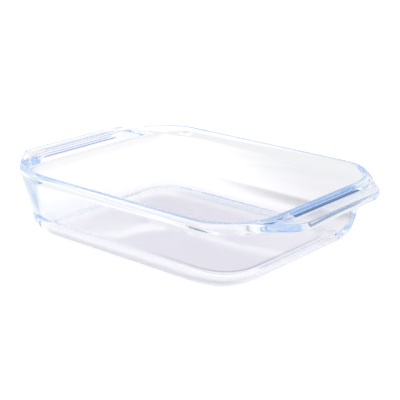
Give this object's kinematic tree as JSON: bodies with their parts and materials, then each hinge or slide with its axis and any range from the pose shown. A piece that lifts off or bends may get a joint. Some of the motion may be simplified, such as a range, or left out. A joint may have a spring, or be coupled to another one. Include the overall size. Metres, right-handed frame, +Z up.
{
  "type": "roasting dish",
  "caption": "Rectangular clear pressed-glass roasting dish with sloping walls, rounded corners and a lug handle along each short end, for oven cooking and serving.",
  "frame": {"origin": "middle of the underside, on the surface that the dish stands on", "axes": "+X along the length towards the right handle, +Y towards the back long wall, +Z up"},
  "size_m": [0.344, 0.23, 0.065],
  "materials": {
    "pressed_glass": "clear, fire-polished, with a faint blue tint where the glass is thick"
  },
  "bodies": {
    "root": {"floor_panel": "pressed_glass", "front_wall": "pressed_glass", "back_wall": "pressed_glass", "left_end_wall": "pressed_glass", "right_end_wall": "pressed_glass", "front_left_corner": "pressed_glass", "front_right_corner": "pressed_glass", "back_left_corner": "pressed_glass", "back_right_corner": "pressed_glass", "front_rim": "pressed_glass", "back_rim": "pressed_glass", "front_left_shoulder": "pressed_glass", "front_right_shoulder": "pressed_glass", "back_left_shoulder": "pressed_glass", "back_right_shoulder": "pressed_glass", "left_handle": "pressed_glass", "right_handle": "pressed_glass"}
  },
  "joints": []
}
